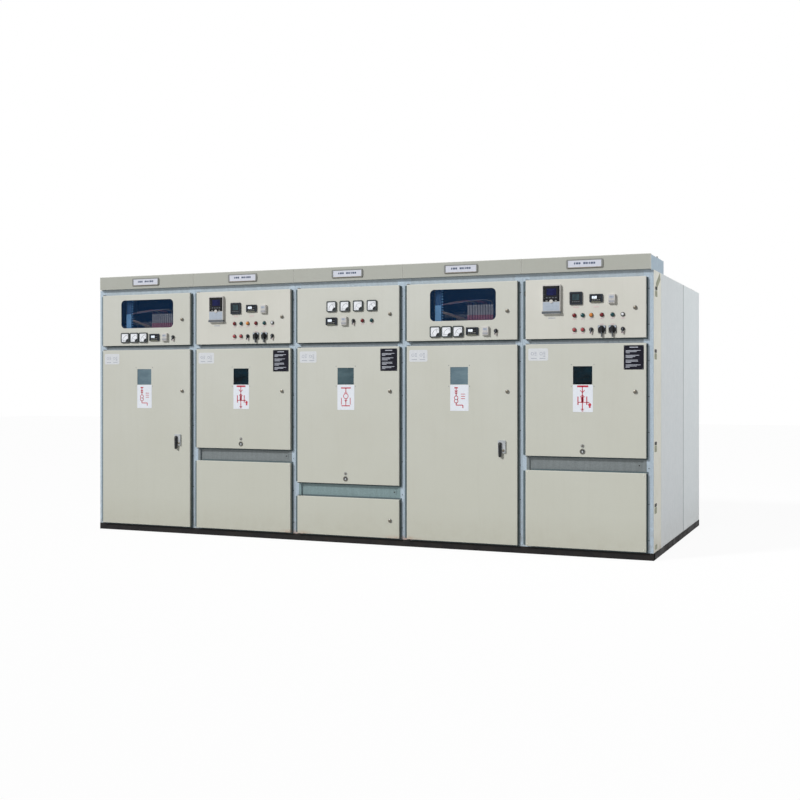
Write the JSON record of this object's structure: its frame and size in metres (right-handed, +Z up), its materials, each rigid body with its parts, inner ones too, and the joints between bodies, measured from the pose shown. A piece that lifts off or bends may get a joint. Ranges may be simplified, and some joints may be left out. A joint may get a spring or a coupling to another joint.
{
  "type": "metal-clad switchgear",
  "caption": "Row of metal-clad switchgear cubicles with instrument doors above hinged compartment doors, on a channel base, for indoor power distribution.",
  "frame": {"origin": "middle of the row's footprint, on the floor", "axes": "+X along the row to the right seen from the doors, +Y from the doors to the back, +Z up"},
  "size_m": [5.04, 2.414, 2.324],
  "materials": {
    "beige_paint": "fine textured powder coat",
    "grey_paint": "smooth powder coat",
    "galvanised": "aluminium-zinc coated sheet",
    "black_base": "matt black paint",
    "truck_grey": "smooth grey paint",
    "terminal_plastic": "moulded terminals",
    "plate_frame": "satin aluminium frame",
    "window_glass": "tinted pane",
    "black_plastic": "moulded",
    "pale_plastic": "moulded",
    "lamp_plastic": "translucent lenses in several colours",
    "plated_steel": "satin chrome"
  },
  "bodies": {
    "frame": {"barrier_plates": "galvanised", "base_cross_members": "black_base", "base_rails": "black_base", "cable_covers": "beige_paint", "climate_controllers": "pale_plastic", "cross_rails": "galvanised", "crossbars": "galvanised", "digital_meters": "black_plastic", "end_cheeks": "beige_paint", "end_panels": "grey_paint", "floor_plates": "galvanised", "header_panels": "beige_paint", "hinge_tongues": "galvanised", "indicator_lamps": "lamp_plastic", "instrument_door_1": "beige_paint", "instrument_door_2": "beige_paint", "instrument_door_3": "beige_paint", "instrument_door_4": "beige_paint", "instrument_door_5": "beige_paint", "instrument_windows": "window_glass", "lifting_lugs": "galvanised", "nameplate_holders": "plate_frame", "panel_meters": "black_plastic", "partition_walls": "galvanised", "posts": "galvanised", "power_meters": "black_plastic", "protection_relays": "black_plastic", "push_buttons": "lamp_plastic", "rear_covers": "beige_paint", "relief_flaps": "galvanised", "roof_plates": "galvanised", "rotary_knobs": "black_plastic", "selector_switches": "black_plastic", "shelf_plates": "galvanised", "terminal_rows": "terminal_plastic", "trucks": "truck_grey", "wiring_trunks": "galvanised"},
    "compartment_door_1": {"compartment_door_1": "beige_paint", "view_window_1": "window_glass", "handle_plate_1": "plated_steel"},
    "compartment_door_2": {"compartment_door_2": "beige_paint", "view_window_2": "window_glass"},
    "compartment_door_3": {"compartment_door_3": "beige_paint", "view_window_3": "window_glass"},
    "compartment_door_4": {"compartment_door_4": "beige_paint", "view_window_4": "window_glass", "handle_plate_4": "plated_steel"},
    "compartment_door_5": {"compartment_door_5": "beige_paint", "view_window_5": "window_glass"},
    "cable_door_3": {"cable_door_3": "beige_paint"},
    "handle_lever_1": {"handle_lever_1": "black_plastic"},
    "handle_lever_4": {"handle_lever_4": "black_plastic"}
  },
  "joints": [
    {"name": "door_1_swing", "type": "hinge", "parent": "frame", "child": "compartment_door_1", "pos_m": [-2.458, -1.171, 1], "axis": [0, 0, -1], "range_deg": [0, 110]},
    {"name": "door_2_swing", "type": "hinge", "parent": "frame", "child": "compartment_door_2", "pos_m": [-1.458, -1.171, 1], "axis": [0, 0, -1], "range_deg": [0, 110]},
    {"name": "door_3_swing", "type": "hinge", "parent": "frame", "child": "compartment_door_3", "pos_m": [-0.458, -1.171, 1], "axis": [0, 0, -1], "range_deg": [0, 110]},
    {"name": "door_4_swing", "type": "hinge", "parent": "frame", "child": "compartment_door_4", "pos_m": [0.542, -1.171, 1], "axis": [0, 0, -1], "range_deg": [0, 110]},
    {"name": "door_5_swing", "type": "hinge", "parent": "frame", "child": "compartment_door_5", "pos_m": [1.542, -1.171, 1], "axis": [0, 0, -1], "range_deg": [0, 110]},
    {"name": "cable_door_3_swing", "type": "hinge", "parent": "frame", "child": "cable_door_3", "pos_m": [-0.458, -1.171, 0.2], "axis": [0, 0, -1], "range_deg": [0, 110]},
    {"name": "handle_1_turn", "type": "hinge", "parent": "compartment_door_1", "child": "handle_lever_1", "pos_m": [-1.6704, -1.193, 0.854], "axis": [0, 1, 0], "range_deg": [0, 90]},
    {"name": "handle_4_turn", "type": "hinge", "parent": "compartment_door_4", "child": "handle_lever_4", "pos_m": [1.3296, -1.193, 0.854], "axis": [0, 1, 0], "range_deg": [0, 90]}
  ]
}
